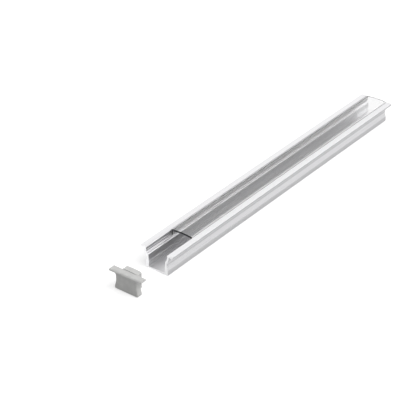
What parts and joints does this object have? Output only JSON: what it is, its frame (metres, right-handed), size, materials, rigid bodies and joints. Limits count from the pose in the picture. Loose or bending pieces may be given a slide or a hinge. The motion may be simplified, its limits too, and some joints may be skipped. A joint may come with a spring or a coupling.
{
  "type": "recessed led strip profile",
  "caption": "Flanged aluminium channel that sinks into a slot and holds an LED strip under a clear snap-in cover, drawn back from one end, with a moulded end cap.",
  "frame": {"origin": "middle of the profile's underside, halfway along its length", "axes": "+X along the profile, away from the end cap; +Z out of the channel's mouth; Y across the flanges"},
  "size_m": [0.2799, 0.0248, 0.0154],
  "materials": {
    "anodised_aluminium": "satin anodised",
    "clear_plastic": "clear polished",
    "grey_plastic": "fine satin moulding"
  },
  "bodies": {
    "profile": {"profile": "anodised_aluminium"},
    "cover": {"cover": "clear_plastic"},
    "end_cap": {"end_cap": "grey_plastic"}
  },
  "joints": [
    {"name": "cover_slide", "type": "slide", "parent": "profile", "child": "cover", "axis": [1, 0, 0], "range_m": [-0.0206, 0.226]},
    {"name": "cap_push", "type": "slide", "parent": "profile", "child": "end_cap", "axis": [0.9969, 0, 0.0791], "range_m": [0, 0.02528]}
  ]
}
